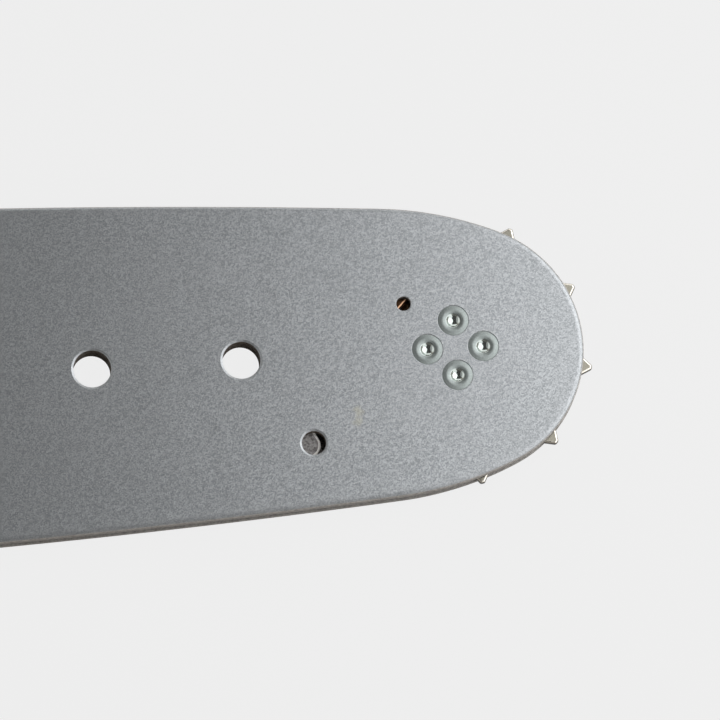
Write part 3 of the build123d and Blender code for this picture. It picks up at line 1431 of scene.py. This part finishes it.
@dataclass
class NoseRivets:
    """Four flush rivets whose heads are dished by the setting punch, on both faces of the bar."""

    layout: Layout
    shank_radius: float = 1.7
    head_radius: float = 2.7
    # Radius from the rivet's axis and slope of the head there in degrees, upwards from the axis.
    slopes: tuple[Point, ...] = (
        (0.0, 0.0),
        (1.12, 42.0),
        (1.22, 26.0),
        (1.4, 11.0),
        (1.66, 9.0),
        (1.87, 0.0),
        (2.1, -7.0),
        (2.4, -8.0),
        (2.7, -5.0),
    )
    facets: int = 45
    corners: int = 72

    def head(self) -> Profile:
        """Add up the slopes into the profile of a head.

        Returns:
            Radius and depth below the face, from the axis outwards and down to the shank.
        """
        step = self.head_radius / self.facets
        radii, angles = zip(*self.slopes)
        depth, points = 0.0, [(0.0, 0.0)]
        for number in range(self.facets):
            slope = float(np.interp((number + 0.5) * step, radii, angles))
            depth -= step * math.tan(math.radians(slope))
            points.append(((number + 1) * step, depth))
        crest = min(depth for _, depth in points)
        face = [(radius, depth - crest) for radius, depth in points]
        return [*face, (self.shank_radius, self.layout.rivet_head_depth)]

    def build(self, steel: bpy.types.Material) -> None:
        """Turn one rivet and set it at every place round the axis.

        Args:
            steel: finish of the rivets.
        """
        layout = self.layout
        rivet = revolved("nose_rivet", self.head(), 0.0, layout.top, self.corners)
        ring = RingOfCopies("rivet_ring", layout.rivet_count, layout.rivet_circle, 0.0, layout.nose)
        finished("flush_rivets", ring.applied(rivet, steel), (), "bar", ("nose_rivets",))


@dataclass(frozen=True)
class SoftBox:
    """A flat soft light that faces the nose of the bar; sizes are in metres."""

    name: str
    bearing: Place
    distance: float
    width: float
    height: float
    power: float

    def hang(self, target: Vector) -> None:
        """Hang the light.

        Args:
            target: the point that it faces.
        """
        lamp = bpy.data.lights.new(self.name, "AREA")
        lamp.shape = "ELLIPSE"
        lamp.size = self.width
        lamp.size_y = self.height
        lamp.energy = self.power
        light = in_scene(self.name, lamp)
        aim = Vector(self.bearing).normalized()
        light.location = target + self.distance * aim
        light.rotation_euler = aim.to_track_quat("Z", "Y").to_euler()


@dataclass(frozen=True)
class Studio:
    """Pale floor, soft light and the camera; floor sizes and the camera's limits are in metres."""

    board: PaleBoard = PaleBoard()
    floor_size: float = 8.0
    floor_gap: float = 0.0001
    soft_boxes: tuple[SoftBox, ...] = (
        SoftBox("key_light", (0.58, 0.12, 0.80), distance=0.19, width=0.24, height=0.24, power=0.32),
        SoftBox("side_light", (0.62, 0.50, 0.60), distance=0.31, width=0.3, height=0.25, power=0.3),
        SoftBox("fill_light", (0.54, -0.58, 0.61), distance=0.31, width=0.3, height=0.25, power=0.27),
        SoftBox("back_light", (0.05, 0.95, 0.30), distance=0.6, width=0.7, height=0.3, power=0.6),
        SoftBox("tail_light", (-0.95, 0.20, 0.26), distance=0.5, width=0.7, height=0.25, power=0.28),
        SoftBox("over_light", (-0.85, 0.05, 0.52), distance=0.36, width=0.5, height=0.3, power=0.17),
    )
    surroundings: str = "#F3EBDF"
    horizon_light: float = 0.6
    zenith_light: float = 0.03
    # Rise of the way outwards between which the surroundings darken.
    dimming_range: Point = (0.05, 0.7)
    lens: float = 430.7
    sensor: float = 36.0
    clip_range: Point = (0.01, 50.0)
    tilt: float = -13.92
    turn: float = 4.0
    roll: float = 4.41
    camera_offset: Place = (-16.60, -2.16, 1500.0)

    def floor(self) -> None:
        """Lay the floor just under the bar."""
        half = self.floor_size / 2
        corners = [(x * half, y * half, -self.floor_gap) for x, y in ((-1, -1), (1, -1), (1, 1), (-1, 1))]
        mesh = bpy.data.meshes.new("floor")
        mesh.from_pydata(corners, [], [(0, 1, 2, 3)])
        mesh.materials.append(self.board.material())
        board = in_scene("floor", mesh)

    def lights(self, target: Vector) -> None:
        """Hang the lights and set the soft surroundings, which the eye sees as plain as the floor.

        Args:
            target: the point that the lights face.
        """
        for light in self.soft_boxes:
            light.hang(target)
        world = bpy.data.worlds.new("studio")
        bpy.context.scene.world = world
        world.use_nodes = True
        world.node_tree.nodes.clear()
        add = partial(add_node, world.node_tree)
        way = add("ShaderNodeTexCoord")
        split = add("ShaderNodeSeparateXYZ", {"Vector": (way, "Generated")})
        start, end = self.dimming_range
        rise = {"Value": (split, "Z"), "From Min": start, "From Max": end}
        glows = {"To Min": self.horizon_light, "To Max": self.zenith_light}
        fall = add("ShaderNodeMapRange", {**rise, **glows}, interpolation_type="SMOOTHSTEP")
        path = add("ShaderNodeLightPath")
        seen = (path, "Is Camera Ray")
        strength = add("ShaderNodeMix", {"Factor": seen, "A": fall, "B": 1.0}, data_type="FLOAT")
        tones = {"Factor": seen, "A": self.surroundings, "B": self.board.pale}
        tint = add("ShaderNodeMix", tones, data_type="RGBA")
        glow = add("ShaderNodeBackground", {"Color": tint, "Strength": strength})
        add("ShaderNodeOutputWorld", {"Surface": glow})

    def camera(self, near_point: Vector) -> None:
        """Set the camera from the view that the photograph was taken from.

        Args:
            near_point: where the wheel's axis leaves the front face.
        """
        lens = bpy.data.cameras.new("camera")
        lens.lens = self.lens
        lens.sensor_width = self.sensor
        lens.clip_start, lens.clip_end = self.clip_range
        camera = in_scene("camera", lens)
        facing = Matrix.Identity(3)
        for angle, axis in ((self.tilt, "X"), (self.turn, "Y"), (self.roll, "Z")):
            facing = facing @ Matrix.Rotation(math.radians(angle), 3, axis)
        pose = facing.transposed()
        place = near_point + MM * (pose @ Vector(self.camera_offset))
        camera.matrix_world = Matrix.Translation(place) @ pose.to_4x4()
        bpy.context.scene.camera = camera


def main() -> None:
    """Build every piece in order, then the studio round them."""
    logging.basicConfig(level=logging.INFO, format="%(name)s: %(message)s")
    layout = Layout()
    outline, holes = BarOutline(layout), ThroughHoles(layout)
    lacquer = SilverLacquer().material()
    rolled = RolledSteel(layout=layout).material()
    sheared = ShearedEdge().material()
    rail = ShearedEdge("worn_rail_edge", dust="#B4B1AD", torn="#959290").material()
    # Near-white on the core's slope is a painted highlight.
    painted_highlight = ShearedEdge(
        "core_edge_painted_highlight", roughness=0.6, shine=0.1, dust="#FBF9F6", torn="#EDEAE6"
    ).material()
    for side in Side:
        SidePlate(side, layout, outline, holes).build(lacquer, rolled, sheared, rail)
    CorePlate(layout, outline, holes).build(rolled, sheared, painted_highlight)
    NoseSprocket(layout).build(TumbledSteel(layout=layout).material())
    NeedleBearing(layout).build(BearingSteel().material())
    NoseRivets(layout).build(RivetSteel(layout=layout).material())
    near_point = Vector((layout.nose_x, 0.0, layout.top)) * MM
    studio = Studio()
    studio.floor()
    studio.lights(near_point)
    studio.camera(near_point)
    bpy.context.scene.view_settings.view_transform = "Standard"


if __name__ == "__main__":
    main()
